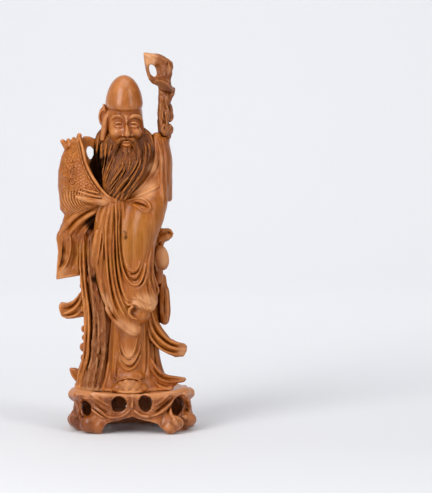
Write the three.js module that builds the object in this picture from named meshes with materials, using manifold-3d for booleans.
// A carved boxwood figure of Shou Lao with a staff, on a pierced root stand.
// Millimetres, +Z up, -Y towards the viewer. The origin is under the middle of the whole piece.
import * as THREE from 'three';
import { mergeVertices } from 'three/addons/utils/BufferGeometryUtils.js';
import Module from 'manifold-3d';

const wasm = await Module();
wasm.setup();

// Driving sizes of the stand
const STAND_WIDTH = 98;
const STAND_DEPTH = 64;
const STAND_HEIGHT = 32;
const STAND_TOP_THICKNESS = 7;
const STAND_WALL = 9;
const HOLE_WIDTH = 13;
const HOLE_HEIGHT = 13;
const ARCH_HEIGHT = 12;
const ARCH_WIDTH = 40;

// Driving sizes of the figure and its staff
const FIGURE_HEIGHT = 247;
const STAFF_SHAFT_WIDTH = 10.5;
const STAFF_SHAFT_DEPTH = 9;
const STAFF_SOCKET_DEPTH = 24;
const SOCKET_CLEARANCE = 0.35;
const SEAT_GAP = 0.3;
const PANEL_THICKNESS = 4.5;

// The figure is a free form, drawn at full size on a stand of this height, as seen from the eye point.
// Points are read off that drawing: x to the viewer's right, y back, h above the table. A point drawn on
// the middle plane slides along the line of sight to its depth.
const DRAWN_STAND = 32;
const DRAWN_FIGURE = 247;
const SUNK = DRAWN_STAND - 12;
const EYE = new THREE.Vector3(67, -1793, 301);
const unit = FIGURE_HEIGHT / DRAWN_FIGURE;
const at = (x, y, h) => {
  const drawn = new THREE.Vector3(x, 0, h);
  return drawn.lerp(EYE, y / EYE.y).sub(new THREE.Vector3(0, 0, DRAWN_STAND)).multiplyScalar(unit);
};
const path = (...points) => points.map(([x, y, h]) => at(x, y, h));

const VIEWER = new THREE.Vector3(0, -1, 0);
const boxwood = new THREE.MeshStandardMaterial({ color: 0xb56a35, roughness: 0.42, metalness: 0 });
const staffWood = new THREE.MeshStandardMaterial({ color: 0xa9602f, roughness: 0.45, metalness: 0 });
const standWood = new THREE.MeshStandardMaterial({ color: 0xa85c30, roughness: 0.45, metalness: 0 });

// Solids and booleans

// A closed surface through a stack of rings, each counter-clockwise seen from the last ring's end
function loft(rings, firstTip, lastTip) {
  const count = rings[0].length;
  const positions = rings.flat().flatMap((p) => [p.x, p.y, p.z]);
  const middle = (ring) => ring.reduce((sum, p) => sum.add(p), new THREE.Vector3()).divideScalar(count);
  const tips = [firstTip ?? middle(rings[0]), lastTip ?? middle(rings.at(-1))];
  tips.forEach((p) => positions.push(p.x, p.y, p.z));
  const first = rings.length * count;
  const last = first + 1;
  const top = (rings.length - 1) * count;
  const index = [];
  for (let j = 0; j < count; j++) {
    const k = (j + 1) % count;
    index.push(first, k, j, last, top + j, top + k);
    for (let i = 0; i < rings.length - 1; i++) {
      const low = i * count;
      const high = low + count;
      index.push(low + j, low + k, high + k, low + j, high + k, high + j);
    }
  }
  const geometry = new THREE.BufferGeometry();
  geometry.setAttribute('position', new THREE.Float32BufferAttribute(positions, 3));
  geometry.setIndex(index);
  return geometry;
}

function toSolid(geometry) {
  const bare = geometry.clone();
  bare.deleteAttribute('normal');
  bare.deleteAttribute('uv');
  const merged = mergeVertices(bare, 1e-4);
  const mesh = new wasm.Mesh({
    numProp: 3,
    vertProperties: new Float32Array(merged.attributes.position.array),
    triVerts: new Uint32Array(merged.index.array),
  });
  const solid = new wasm.Manifold(mesh);
  return solid.volume() < 0 ? toSolid(turnedInsideOut(merged)) : solid;
}

function turnedInsideOut(geometry) {
  const flipped = geometry.clone();
  const index = flipped.index.array;
  for (let i = 0; i < index.length; i += 3) {
    [index[i], index[i + 1]] = [index[i + 1], index[i]];
  }
  return flipped;
}

function toGeometry(solid) {
  const { vertProperties, triVerts } = solid.getMesh();
  const geometry = new THREE.BufferGeometry();
  geometry.setAttribute('position', new THREE.BufferAttribute(vertProperties, 3));
  geometry.setIndex(new THREE.BufferAttribute(triVerts, 1));
  geometry.computeVertexNormals();
  return geometry;
}

const joined = (geometries) => geometries.map(toSolid).reduce((whole, next) => whole.add(next));

// Pockets that overlapping forms enclose between them are solid wood
function withoutPockets(solid) {
  const shells = solid.decompose();
  return shells.filter((shell) => shell.volume() > 0).reduce((a, b) => (a.volume() > b.volume() ? a : b));
}

// Value of a smooth line through [place, ...values] rows at a place
function along(rows, place) {
  let i = 0;
  while (i < rows.length - 2 && place > rows[i + 1][0]) i++;
  const [a, b] = [rows[i], rows[i + 1]];
  const before = rows[Math.max(i - 1, 0)];
  const after = rows[Math.min(i + 2, rows.length - 1)];
  const span = b[0] - a[0];
  const t = THREE.MathUtils.clamp((place - a[0]) / span, 0, 1);
  return a.slice(1).map((value, n) => {
    const k = n + 1;
    const slopeA = ((b[k] - before[k]) / (b[0] - before[0])) * span;
    const slopeB = ((after[k] - a[k]) / (after[0] - a[0])) * span;
    const t2 = t * t;
    const t3 = t2 * t;
    return (2 * t3 - 3 * t2 + 1) * value + (t3 - 2 * t2 + t) * slopeA
      + (3 * t2 - 2 * t3) * b[k] + (t3 - t2) * slopeB;
  });
}

// An upright form: rows are [h, middle x, middle y, half width, half depth]
function column(rows, { around = 24, rings = 12, folds = () => 0, tip } = {}) {
  const low = rows[0][0];
  const high = rows.at(-1)[0];
  const stack = [];
  for (let i = 0; i <= rings; i++) {
    const h = low + ((high - low) * i) / rings;
    const [x, y, a, b] = along(rows, h);
    const ring = [];
    for (let j = 0; j < around; j++) {
      const angle = (2 * Math.PI * j) / around;
      const out = 1 + folds(j, h, angle);
      ring.push(at(x + a * out * Math.cos(angle), y + b * out * Math.sin(angle), h));
    }
    stack.push(ring);
  }
  return loft(stack, undefined, tip && at(...tip));
}

// A tapering form along a path: half widths lie across the view, half depths towards the viewer
function strand(points, halfWidths, halfDepths, { sides = 4, steps = 5, ends = 0.6 } = {}) {
  const curve = new THREE.CatmullRomCurve3(points, false, 'centripetal');
  const spread = (values, t) => {
    const place = t * (values.length - 1);
    const i = Math.min(Math.floor(place), values.length - 2);
    return THREE.MathUtils.lerp(values[i], values[i + 1], place - i) * unit;
  };
  const rings = [];
  for (let i = 0; i <= steps; i++) {
    const t = i / steps;
    const middle = curve.getPoint(t);
    const ahead = curve.getTangent(t);
    const front = VIEWER.clone().addScaledVector(ahead, -VIEWER.dot(ahead)).normalize();
    const side = new THREE.Vector3().crossVectors(ahead, front);
    const w = spread(halfWidths, t);
    const d = spread(halfDepths, t);
    const ring = [];
    for (let j = 0; j < sides; j++) {
      const angle = (2 * Math.PI * j) / sides;
      ring.push(middle.clone()
        .addScaledVector(front, d * Math.cos(angle))
        .addScaledVector(side, w * Math.sin(angle)));
    }
    rings.push(ring);
  }
  const reach = (t, values) => curve.getPoint(t)
    .addScaledVector(curve.getTangent(t), (t ? 1 : -1) * ends * spread(values, t));
  return loft(rings, reach(0, halfWidths), reach(1, halfWidths));
}

// Cloth that falls in folds: guides are fold lines side by side, each from its top to its end.
// Ridges and valleys alternate between them, and a thick back buries the cloth in what it hangs on.
// Swell gives their depth along the way as a share, and a festoon's is deepest in the middle.
function drape(guides, { folds, depth, back, rows = 9, swell = (v) => Math.min(1, 0.25 + v) }) {
  const curves = guides.map((points) => new THREE.CatmullRomCurve3(points, false, 'centripetal'));
  const acrossAt = (v) => new THREE.CatmullRomCurve3(curves.map((curve) => curve.getPoint(v)),
    false, 'centripetal');
  const lines = 2 * folds;
  const near = 0.02;
  const rings = [];
  for (let r = rows; r >= 0; r--) {
    const v = r / rows;
    const across = acrossAt(v);
    const before = acrossAt(Math.max(v - near, 0));
    const after = acrossAt(Math.min(v + near, 1));
    const grown = depth * unit * swell(v);
    const ring = [];
    for (let n = 0; n <= lines; n++) {
      const point = across.getPoint(n / lines);
      const down = after.getPoint(n / lines).sub(before.getPoint(n / lines));
      const out = down.cross(across.getTangent(n / lines)).normalize();
      const edge = n === 0 || n === lines;
      ring.push(point.addScaledVector(out, edge ? 0 : (n % 2 ? grown : -grown)));
    }
    const thick = new THREE.Vector3(0, back * unit, 0);
    ring.push(across.getPoint(0.85).add(thick), across.getPoint(0.15).add(thick));
    rings.push(ring);
  }
  return loft(rings);
}

const festoon = (v) => Math.sin(Math.PI * v);

// A curved wall of even thickness under the same kind of guides
function shell(guides, { thickness, columns, rows }) {
  const curves = guides.map((points) => new THREE.CatmullRomCurve3(points, false, 'centripetal'));
  const rings = [];
  for (let r = rows; r >= 0; r--) {
    const across = new THREE.CatmullRomCurve3(curves.map((curve) => curve.getPoint(r / rows)),
      false, 'centripetal');
    const outer = [];
    const inner = [];
    for (let n = 0; n <= columns; n++) {
      const point = across.getPoint(n / columns);
      const ahead = across.getTangent(n / columns);
      const inwards = new THREE.Vector3(-ahead.y, ahead.x, 0).normalize();
      outer.push(point);
      inner.unshift(point.clone().addScaledVector(inwards, thickness));
    }
    rings.push([...outer, ...inner]);
  }
  return loft(rings);
}

function egg([x, y, h], [a, b, c], { around = 6, rings = 4, tilt = 0 } = {}) {
  const geometry = new THREE.SphereGeometry(1, around, rings);
  geometry.rotateX(Math.PI / 2);
  geometry.scale(a * unit, b * unit, c * unit);
  geometry.rotateY(THREE.MathUtils.degToRad(tilt));
  const middle = at(x, y, h);
  return geometry.translate(middle.x, middle.y, middle.z);
}

// Figure

function robe() {
  const rows = [
    [SUNK, -1, 0, 33, 25], [36, -2, 0, 30, 23.5], [46, -3, 1, 25, 21], [60, -3, 2, 22.5, 20],
    [85, -3, 3, 24, 20], [105, -4, 4, 27, 21], [130, -5, 5, 28.5, 21], [155, -4, 6, 27.5, 20],
    [180, -2, 6, 28, 18], [205, 0, 6, 28, 17], [218, 0, 6, 26, 15], [228, -2, 5, 22, 12], [235, -4, 3, 13, 9],
  ];
  // Pleats open towards the hem and die away over the shoulders
  const folds = (j, h) => (j % 2 ? 0.07 : -0.07) * THREE.MathUtils.clamp((215 - h) / 90, 0.1, 1);
  return column(rows, { around: 24, rings: 11, folds });
}

function head() {
  const skull = [
    [224, -4.5, -5, 11, 11], [231, -4.5, -6, 12.8, 13.8], [240, -4.5, -6, 13.8, 14.4],
    [252, -5, -5, 13.5, 14],
  ];
  const dome = [
    [247.5, -5, -5, 12.5, 13.5], [251, -5, -5.2, 14.4, 16.2], [257, -5, -5, 15, 17],
    [264, -5, -4.6, 14.2, 16.2],
    [271, -5, -4.2, 11.8, 13.6], [276, -5, -4, 8.2, 9.6], [278.5, -5, -4, 4, 4.8],
  ];
  const features = [
    // Nose and brows
    strand(path([-3.2, -18.5, 244], [-2.8, -20.3, 238], [-2.4, -22.6, 232]), [1.4, 1.8, 3], [2, 2.4, 2.4],
      { steps: 2 }),
    strand(path([-4.5, -19, 245], [-10, -18.2, 247], [-16, -13, 244.5]), [1.4, 1.8, 1.2], [1.8, 2, 1.4],
      { steps: 3 }),
    strand(path([-1.5, -19.5, 245], [3.5, -17.5, 247], [8, -12, 244.5]), [1.4, 1.8, 1.2], [1.8, 2, 1.4],
      { steps: 3 }),
    // Cheeks, eyes and lower lip
    egg([-10.6, -13.4, 233.5], [5.2, 5, 5]), egg([4.2, -13.4, 233.5], [4.8, 5, 5]),
    egg([-9.2, -16.6, 240.5], [3.8, 2.4, 2.2]), egg([2.6, -16.6, 240.5], [3.4, 2.4, 2.2]),
    egg([-4.2, -16.8, 223], [4.4, 4.4, 3]),
    // Ears
    strand(path([-19.5, -2, 256], [-22.8, -3, 249], [-22.2, -3, 243], [-19.5, -4, 238]), [1.8, 3.4, 3, 2],
      [3, 5, 4, 2], { steps: 4 }),
    strand(path([8, 3, 254], [9.6, 3, 249], [9.4, 2, 243], [8, 1, 238]), [1, 1.8, 1.7, 1.2], [3, 4.6, 4, 2],
      { steps: 3 }),
  ];
  return [column(skull, { around: 12, rings: 3 }),
    column(dome, { around: 14, rings: 5, tip: [-5, -4, 279.5] }), ...features];
}

// Locks run from the cheeks and sweep to one side, where the tip rests on the sleeves
function beard() {
  const mass = [
    [180, -12, -27.5, 2, 3.4], [186, -12, -26, 7, 6], [194, -10, -23, 12, 9], [204, -7, -19, 16, 10],
    [216, -4.5, -14.5, 18.5, 10], [227, -4, -11, 18.5, 9.6], [233, -4, -9, 15, 9], [238, -4.5, -6, 11, 6],
  ];
  const moustache = [
    strand(path([-4, -22, 227.5], [-9.5, -22.5, 223], [-14, -23, 214], [-18.5, -23, 202]), [1.4, 2, 1.8, 0.8],
      [1.8, 2.2, 2, 1]),
    strand(path([-1, -22, 227.5], [3.5, -22.5, 223], [5.5, -23.6, 214], [3, -25, 202]), [1.4, 2, 1.8, 0.8],
      [1.8, 2.2, 2, 1]),
    strand(path([-4.5, -21, 218], [-7, -24, 210], [-12, -26.5, 197], [-16, -28.5, 186]), [2, 2.6, 2.4, 1],
      [2, 2.2, 2.2, 1.2]),
  ];
  const folds = (j) => (j % 2 ? 0.08 : -0.08);
  return [column(mass, { around: 20, rings: 6, folds }), ...moustache];
}

// The embroidered panel that curves from the shoulder down to the hand
function patternedPanel() {
  const guides = [
    path([-49, -1, 223], [-55, -4, 212], [-57, -3, 200], [-56.5, -3, 188], [-55.5, -4, 178], [-51, -7, 169]),
    path([-47.5, -6, 227], [-51, -12, 212], [-52, -15, 200], [-50, -16, 188], [-47, -17, 176],
      [-43, -17, 169]),
    path([-43.5, -10, 230], [-44, -17, 212], [-44, -21, 200], [-41, -24, 190], [-37, -25, 180],
      [-35, -22, 170]),
    path([-39, -12, 232], [-36.5, -20, 214], [-33, -25, 203], [-28, -28, 194], [-23, -29, 184],
      [-24, -26, 172]),
  ];
  const border = strand(path([-38.5, -13, 232], [-36, -21, 214], [-32.5, -26, 203], [-27, -29, 193.5],
    [-18, -31, 185.5], [-9, -32, 182.5]), [1.8, 2, 1.8, 1.6, 1.4, 1.2], [2.6, 2.6, 2.4, 2.2, 2, 1.6],
    { steps: 6 });
  // The arm bridges to the shoulder above a small hole, and its sleeve closes the hollow below
  const bridge = strand(path([-41, -9, 226], [-34, -5, 228], [-29, -2, 226], [-22, 0, 219]), [4, 4, 4.5, 5],
    [4, 3.5, 4, 5], { steps: 3 });
  const sleeve = strand(path([-24, 1, 210], [-32, -2, 204], [-38, -6, 190], [-38, -8, 176], [-33, -8, 160]),
    [7, 9, 9, 9, 8], [5, 5, 6, 7, 7], { steps: 4 });
  const tips = [[-54.5, -2, 227.5], [-50, -3, 228.5], [-46, -4, 229.5], [-41, -9, 233]];
  const roots = [[-47, -2, 219], [-45, -4, 221], [-43, -6, 223], [-40.5, -10, 226]];
  const fringe = tips.map((tip, i) => strand(path(roots[i], tip), [3, 1.9], [3, 2.2],
    { steps: 1, ends: 0.4 }));
  return [shell(guides, { thickness: PANEL_THICKNESS, columns: 5, rows: 7 }),
    border, bridge, sleeve, ...fringe];
}

function hand() {
  return [
    strand(path([-14, -28, 182], [-24, -31, 181.6], [-31, -32, 181.6]), [5, 3.6, 3.2], [5, 4.4, 3.8],
      { steps: 2 }),
    strand(path([-29, -32.5, 183], [-36, -32, 182.6], [-43, -30.5, 183.2]), [2, 1.8, 1.4], [2.6, 2.2, 1.8],
      { steps: 2 }),
    strand(path([-27, -30.5, 179.8], [-34.5, -30.5, 179]), [2.4, 1.6], [2.6, 2.4], { steps: 1 }),
  ];
}

// The sleeve of the raised arm falls away to the side and ends in a straight hem
function hangingSleeve() {
  return drape([
    path([-50, -9, 172], [-55, -7, 160], [-58.5, -4, 150], [-57.5, -3, 136], [-59, -3, 117.5]),
    path([-42, -17, 175], [-49, -14, 161], [-53, -9, 149], [-53.5, -6, 136], [-53.5, -5, 118.5]),
    path([-32, -23, 177], [-39, -19, 164], [-45.5, -13, 151], [-47, -9, 137], [-47, -8, 119.5]),
    path([-22, -26, 176], [-29, -22, 165], [-36, -16, 152], [-40, -10, 137], [-40, -8, 120.5]),
  ], { folds: 3, depth: 1.9, back: 13, rows: 6 });
}

// Long straight folds of one sleeve fall in front of the other
function centralDrape() {
  const cloth = drape([
    path([-26, -25, 181], [-28.5, -27, 165], [-28.5, -28, 148], [-27.5, -28, 128], [-25.5, -27, 110],
      [-19, -26, 97], [-8, -25, 82]),
    path([-20, -29, 183], [-22.5, -31.5, 165], [-22.5, -32.5, 148], [-22, -32.5, 128], [-20, -32, 111],
      [-13, -30, 95], [-3, -27, 78]),
    path([-12, -31, 184], [-14.5, -34, 165], [-15, -35.5, 148], [-14.5, -36, 128], [-12.5, -35, 110],
      [-6, -32, 94], [2.5, -28, 76]),
    path([-3, -31, 185], [-6.5, -35, 165], [-7.5, -37, 148], [-6.5, -37, 128], [-4, -35.5, 108], [1, -33, 96],
      [7.5, -28, 80]),
  ], { folds: 5, depth: 1.4, back: 24, rows: 7 });
  const hemTip = strand(path([-8, -26, 86], [-1, -27.5, 78.5], [5, -28, 77], [7.5, -27, 82], [6, -27, 90]),
    [1.6, 2.4, 2.4, 2, 1.4], [2, 2.4, 2.6, 2.2, 1.6], { steps: 6 });
  return [cloth, hemTip];
}

// The other sleeve hangs as a bag, with nested folds between the wrist and the elbow
function bagSleeve() {
  const cloth = drape([
    path([-12, -24, 184], [-12, -31, 165], [-12, -33, 148], [-11, -33, 128], [-8, -31, 112], [-4, -31, 100]),
    path([2, -26, 188], [1, -35, 168], [0, -36.5, 148], [0, -36.5, 128], [1, -35, 112], [3, -34, 97]),
    path([12, -22, 192], [11, -33, 172], [9, -36, 148], [8, -36.5, 128], [9, -35.5, 111], [10, -34, 94]),
    path([21, -14, 200], [21, -26, 176], [18, -31, 148], [16, -31, 128], [17.5, -31, 112], [16.5, -30, 92]),
    path([27, -2, 206], [27, -14, 176], [23, -20, 150], [19.5, -22, 130], [21, -23, 112], [20, -22, 98]),
    path([27, 6, 206], [26.5, -2, 176], [22, -8, 150], [18, -10, 130], [19, -12, 112], [19, -12, 102]),
  ], { folds: 4, depth: 0.4, back: 16, rows: 6 });
  const nested = drape([
    path([-9, -30, 162], [-8, -33.5, 136], [-5, -35.5, 118], [2, -36.5, 108], [10, -36, 114],
      [15, -33.5, 132], [19, -28, 158]),
    path([-5, -32, 162], [-4.5, -35.5, 139], [-1.5, -37.6, 124], [2, -38.6, 117], [7.5, -37.8, 122],
      [11, -35.6, 138], [14, -31, 162]),
    path([-1, -33, 164], [-1, -36, 147], [0, -37, 135], [2, -37.6, 130], [5, -37, 135], [8, -36, 148],
      [10, -33, 166]),
  ], { folds: 3, depth: 1.4, back: 6, rows: 7, swell: festoon });
  const hem = strand(path([-3, -33, 101], [3, -34.5, 97.5], [9, -35, 94.5], [15, -32.5, 92.5],
    [20.5, -26, 101], [21.5, -24, 110]), [1.4, 2.2, 2.8, 2.8, 2, 1.4], [1.4, 2, 2.2, 2.2, 1.8, 1.4],
    { steps: 6 });
  const curl = strand(path([1, -30, 93], [6, -31.5, 95.5], [12, -31, 92]), [1.8, 2.6, 2.4], [2, 3, 3],
    { steps: 3 });
  return [cloth, nested, hem, curl];
}

function shoulderAndCollar() {
  const cuff = strand(path([1, -33, 182], [7, -33.5, 182.5], [13, -32, 178.5], [10, -35, 173.5],
    [4, -36, 174.5]), [1.4, 1.7, 1.6, 1.4, 1], [1.8, 2, 2, 1.8, 1.2], { steps: 4 });
  const lapels = [
    strand(path([17, -8, 231], [18, -16, 219], [14.5, -22, 206], [7, -28, 194], [-3, -31.5, 184]),
      [2.6, 2.6, 2.4, 2.2, 1.4], [3, 3.2, 3, 2.6, 1.8]),
    strand(path([20.5, -5, 231], [22, -12, 218], [19, -19, 205], [12.5, -25.5, 195], [4, -30.5, 187]),
      [2.2, 2.4, 2.3, 2, 1.2], [2.8, 2.8, 2.6, 2.4, 1.6]),
    strand(path([24, -2, 230], [27, -7, 216], [26, -14, 202], [23, -20, 190], [22, -25, 172]),
      [2, 2.2, 2.1, 1.8, 1.2], [2.6, 2.8, 2.6, 2.4, 1.8]),
  ];
  const chest = strand(path([22, 2, 226], [23, -6, 210], [16, -14, 196], [2, -20, 188]), [7, 8, 9, 8],
    [8, 8, 8, 7], { steps: 4 });
  const cape = strand(path([27, 3, 229], [29.5, 2, 214], [29.6, 1, 198], [29.6, 0, 183]),
    [2.4, 2.8, 2.8, 2.6], [7, 10, 9, 7], { steps: 3, ends: 0.1 });
  const hair = [
    strand(path([-20, -3, 238], [-25, -2, 230], [-26.5, -1, 218], [-24, 0, 205]), [3, 4, 3.6, 3],
      [5, 6, 6, 6], { steps: 4 }),
    strand(path([9, -3, 237], [14, -4, 231.5], [17, -6, 222], [15, -8, 210]), [2.4, 3.6, 3.6, 3],
      [5, 6, 6, 6], { steps: 4 }),
  ];
  return [cuff, ...lapels, chest, cape, ...hair];
}

// Cloth ends, a ribbon bow and a gourd that stand out from the sides of the robe
function sideOrnaments() {
  const leftRibbon = drape([
    path([-30, -3, 110], [-42, -4, 101.5], [-49, -5, 100.5], [-56.5, -4, 100.5]),
    path([-30, -7, 100], [-43, -8, 96.5], [-50, -8, 95], [-57, -7, 96]),
    path([-30, -8, 92], [-43, -8, 91.5], [-49, -8, 90.5], [-54.5, -6, 88.5]),
  ], { folds: 2, depth: 1, back: 10, rows: 4 });
  const upperHem = strand(path([17, -6, 96], [21, -7, 79], [27.5, -7, 69], [35, -5, 64.5], [41, -4, 63]),
    [4, 5, 5, 4.6, 4.6], [5, 6, 5.5, 5, 4], { sides: 6, steps: 5 });
  const lowerHem = strand(path([15, -6, 56], [20, -7, 44.5], [28, -6, 38.4], [35, -5, 37.4], [40.5, -4, 38]),
    [4.6, 6.4, 6, 4, 2.6], [6, 8, 7, 5, 4], { sides: 6, steps: 5 });
  const bow = [
    strand(path([19, -4, 149], [25, -5, 153.5], [29, -4, 155.5]), [1.8, 3.2, 2.6], [3, 4, 3], { steps: 2 }),
    strand(path([20.5, -3, 158], [24.5, -4, 152], [22, -5, 144]), [1.6, 2.2, 2.4], [2.8, 3.6, 3.2],
      { steps: 3 }),
  ];
  const gourd = egg([23.2, -8, 135], [5.2, 5.8, 9.8], { around: 8, rings: 6, tilt: -12 });
  const slab = strand(path([24.5, 2, 117], [24.6, 1, 108], [24.8, 0, 96], [25, 0, 86]), [3, 5.2, 5.2, 4.8],
    [5, 7, 7, 6], { steps: 3, ends: 0.1 });
  return [leftRibbon, upperHem, lowerHem, ...bow, gourd, slab];
}

// Swags between the knees, and the shoe's toe under the hem
function underRobe() {
  const swags = drape([
    path([-12, -17, 80], [-10.5, -20, 62], [-2, -22, 47.5], [6, -20.5, 60], [9, -17, 78]),
    path([-8.5, -19, 80], [-7.5, -22, 66], [-2, -23.6, 55], [3.5, -22, 65], [6, -19, 78]),
    path([-4.5, -18, 80], [-4.5, -21, 72], [-2, -22, 66], [1, -21, 71], [2.5, -18, 78]),
  ], { folds: 3, depth: 1.3, back: 7, rows: 6, swell: festoon });
  const shoe = strand(path([-13, -22, 31.5], [-7, -25, 32.5], [-2, -26, 33], [4, -25, 32.5], [9, -22, 31.5]),
    [4.4, 5.8, 6.2, 5.8, 4.4], [5, 5.5, 6, 5.5, 5], { sides: 6, steps: 4 });
  return [swags, shoe];
}

// A knotty old trunk stands behind the right leg, with a creeper up its outer side
function trunk() {
  const bole = [
    [SUNK, -31, -6, 13, 14], [38, -30.5, -7, 12, 12.5], [50, -28.5, -8, 9.5, 11],
    [70, -26, -9, 8.5, 10], [90, -25, -9, 8, 9], [105, -27, -7, 7, 8],
  ];
  const folds = (j) => 0.09 * Math.sin(j * 2.4);
  return [
    column(bole, { around: 13, rings: 5, folds }),
    strand(path([-34, -6, 164], [-36, -10, 142], [-36.5, -12, 122], [-35.5, -12, 104], [-33.5, -13, 88],
      [-34.5, -13, 70], [-35.5, -12, 56], [-39.5, -9, 44], [-41, -8, SUNK]),
      [6, 4.8, 4.4, 3.8, 3.6, 3.6, 3.8, 4.4, 4.2],
      [5, 6, 6, 5, 5, 5, 5, 6, 6], { sides: 6, steps: 7 }),
    strand(path([-30, -16, 130], [-30.5, -18, 115], [-29, -18, 98], [-27, -19, 80], [-26, -18, 60]),
      [2.8, 2.6, 2.6, 2.4, 1.8], [4, 4, 4, 3, 2.4]),
    strand(path([-38, -4, 42], [-44.5, -4, 46], [-48.5, -4, 48]), [4, 3, 1.4], [4, 3, 1.8], { steps: 2 }),
  ];
}

// Staff: the shaft stands in a blind socket behind the left shoulder

const SOCKET_MOUTH = [25.6, 4, 229];
const SHAFT_LINE = [[25.2, 3, 243], [25.8, 1.4, 257], [26.6, 0, 270]];

// Path and half sizes of the shaft from its foot to a number of points up its line
function shaft(depth, clearance, reach) {
  const mouth = at(...SOCKET_MOUTH);
  const foot = mouth.clone().add(new THREE.Vector3(0, unit, -depth));
  const w = STAFF_SHAFT_WIDTH / 2 / unit + clearance;
  const d = STAFF_SHAFT_DEPTH / 2 / unit + clearance;
  const points = [foot, mouth, ...path(...SHAFT_LINE.slice(0, reach))];
  const grow = [0.62, 0.9, 1, 1, 1.12].slice(0, points.length);
  return { points, halfWidths: grow.map((k) => w * k), halfDepths: grow.map((k) => d * Math.min(k, 1)) };
}

function staffSocket() {
  const { points, halfWidths, halfDepths } = shaft(STAFF_SOCKET_DEPTH + SEAT_GAP, SOCKET_CLEARANCE / unit, 1);
  return strand(points, halfWidths, halfDepths, { sides: 8, steps: 3, ends: 0 });
}

function staff() {
  const { points, halfWidths, halfDepths } = shaft(STAFF_SOCKET_DEPTH, 0, SHAFT_LINE.length);
  const crook = [
    strand(path([24, -2, 274], [17.5, -3, 274.6], [13, -3, 279.5], [12.4, -3, 287], [11.8, -3, 293.5]),
      [4.4, 3.6, 2.4, 2.4, 2.6], [4.5, 4.5, 4, 4, 3.6], { sides: 6 }),
    strand(path([11.4, -3, 294.4], [17, -3, 292.6], [24, -2, 291.4], [29.5, -1, 287]), [2.6, 4.8, 5.6, 5.2],
      [3.4, 4.8, 5.4, 5.4], { sides: 6, steps: 4 }),
    strand(path([27.4, 0, 290], [27.6, 1, 283], [27.2, 1, 275], [26.6, 0, 267]), [5.8, 7, 6.6, 5.4],
      [5.4, 5.6, 5, 4.5], { sides: 6, steps: 3 }),
  ];
  const collar = strand(path([20, -3, 273.5], [27, -4, 271.5], [33.5, -2, 267]), [1.8, 2.6, 1.8], [3, 4, 3],
    { steps: 3 });
  const creeper = strand(path([33, -1, 266], [30.5, -3, 258], [31.5, -3, 247], [29.5, -2, 241],
    [31.5, -1, 236], [31, 0, 233]), [1.8, 2, 2.4, 1.8, 2.8, 1.8], [2.4, 2.6, 3, 2.4, 3.4, 2.2],
    { steps: 7 });
  return [strand(points, halfWidths, halfDepths, { sides: 8, steps: 6, ends: 0 }), ...crook, collar, creeper];
}

// Stand: a top plate on a pierced wall with root feet, hollow below

const AROUND_STAND = 24;
const FRONT = -Math.PI / 2;

// A place on the stand's outline, drawn in from its full width and depth
function standPoint(angle, inset, height) {
  const squareness = 2.6;
  const c = Math.cos(angle);
  const s = Math.sin(angle);
  const round = (Math.abs(c) ** squareness + Math.abs(s) ** squareness) ** (-1 / squareness);
  return new THREE.Vector3((STAND_WIDTH / 2 - inset) * round * c, (STAND_DEPTH / 2 - inset) * round * s,
    height);
}

const standRing = (inset, height, lobes = 0) => Array.from({ length: AROUND_STAND }, (_, j) => {
  const angle = (2 * Math.PI * j) / AROUND_STAND;
  return standPoint(angle, inset - lobes * Math.cos(6 * angle), height);
});

// A tunnel from inside the stand out through its wall
function tunnel(angle, height, width, tall, { inside = 0, lean = 0 } = {}) {
  const geometry = new THREE.CylinderGeometry(1, 1, STAND_WIDTH, 8).rotateX(Math.PI / 2);
  geometry.scale(width / 2, tall / 2, 1).rotateZ(lean).translate(0, 0, STAND_WIDTH / 2 + inside);
  const out = new THREE.Vector3(Math.cos(angle), Math.sin(angle), 0);
  const across = new THREE.Vector3(-out.y, out.x, 0);
  geometry.applyMatrix4(new THREE.Matrix4().makeBasis(across, new THREE.Vector3(0, 0, 1), out));
  return toSolid(geometry.translate(0, 0, height));
}

// Ridges like draped roots cross the front wall between its holes
function rootRidges() {
  const h = STAND_HEIGHT;
  const [deep, thin] = [2.4, 1.6];
  const turns = [[1.05, 0.88], [0.8, 0.64], [0.5, 0.42], [0.24, 0.42], [0, 0.62]];
  return [-1, 1].map((side) => {
    const points = turns.map(([turn, up]) => standPoint(FRONT + side * turn, deep, up * h));
    return strand(points, [thin, deep, deep, deep, thin], [deep, deep, deep, deep, thin], { steps: 4 });
  });
}

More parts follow.
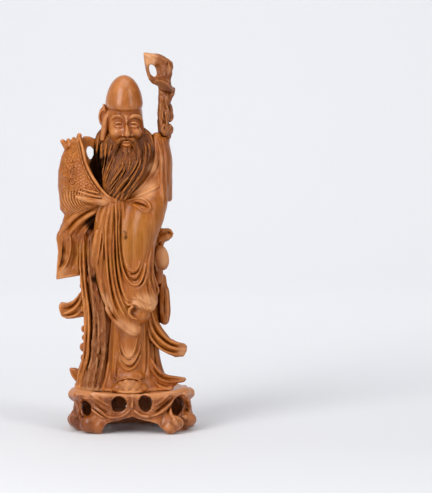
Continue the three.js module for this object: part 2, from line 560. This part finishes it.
function stand() {
  const h = STAND_HEIGHT;
  const ceiling = h - STAND_TOP_THICKNESS;
  const lip = 1;
  const flare = 3;
  let solid = toSolid(loft([
    standRing(1.6 * flare, 0, lip), standRing(flare, h * 0.12, 2 * lip), standRing(flare, h * 0.28, 2 * lip),
    standRing(1.3 * flare, h * 0.5, lip), standRing(1.3 * flare, h * 0.72), standRing(0, h * 0.86),
    standRing(lip, h),
  ]));
  const hollow = loft([
    standRing(STAND_WALL + flare, -1), standRing(STAND_WALL, ceiling * 0.5),
    standRing(STAND_WALL + flare, ceiling * 0.85), standRing(STAND_WALL + 3 * flare, ceiling),
  ]);
  solid = solid.subtract(toSolid(hollow)).add(joined(rootRidges()));
  const middle = h - HOLE_HEIGHT / 2 - 2.5;
  const pair = Math.atan2(HOLE_WIDTH * 0.82, STAND_DEPTH / 2);
  const corner = Math.atan2(STAND_WIDTH * 0.375, STAND_DEPTH / 2);
  const small = 0.68;
  for (const side of [-1, 1]) {
    solid = solid.subtract(tunnel(FRONT + side * pair, middle, HOLE_WIDTH, HOLE_HEIGHT,
      { inside: STAND_DEPTH / 8 }));
    solid = solid.subtract(tunnel(FRONT + side * corner, middle * 0.86, HOLE_WIDTH * 0.75, HOLE_HEIGHT * 0.9,
      { inside: STAND_DEPTH / 4, lean: side * 0.3 }));
    solid = solid.subtract(tunnel(FRONT + (side * Math.PI) / 2, middle * 0.8, HOLE_WIDTH, HOLE_HEIGHT * 0.8,
      { inside: STAND_WIDTH / 4 }));
  }
  // The back is plainer: three smaller holes, none of them opposite a front one, over a low arch
  for (const turn of [-2 * pair, 0, 2 * pair]) {
    solid = solid.subtract(tunnel(-FRONT + turn, middle * 0.84, HOLE_WIDTH * small, HOLE_HEIGHT * small));
  }
  const backArch = tunnel(-FRONT, 0, 1.3 * ARCH_WIDTH, 0.8 * ARCH_HEIGHT);
  return solid.subtract(backArch).subtract(tunnel(FRONT, 0, ARCH_WIDTH, 2 * ARCH_HEIGHT));
}

function named(name, geometry, material) {
  const mesh = new THREE.Mesh(geometry, material);
  mesh.name = name;
  return mesh;
}

const figureSolid = joined([
  robe(), ...head(), ...beard(), ...patternedPanel(), ...hand(), hangingSleeve(), ...centralDrape(),
  ...bagSleeve(), ...shoulderAndCollar(), ...sideOrnaments(), ...underRobe(), ...trunk(),
]);

// Everything below the seat is trimmed off flat, and the staff's socket is cut
const below = new THREE.BoxGeometry(4 * STAND_WIDTH, 4 * STAND_WIDTH, STAND_WIDTH).translate(0, 0,
  -STAND_WIDTH / 2);
const figureCut = figureSolid.subtract(toSolid(below)).subtract(toSolid(staffSocket()));

const carving = new THREE.Group();
carving.add(named('figure', toGeometry(withoutPockets(figureCut)), boxwood));
carving.add(named('staff', toGeometry(withoutPockets(joined(staff()))), staffWood));
carving.position.z = STAND_HEIGHT + SEAT_GAP;

const model = new THREE.Group();
model.add(carving, named('stand', toGeometry(withoutPockets(stand())), standWood));
const middle = new THREE.Box3().setFromObject(model).getCenter(new THREE.Vector3());
model.children.forEach((child) => child.position.sub(new THREE.Vector3(middle.x, middle.y, 0)));

export default model;
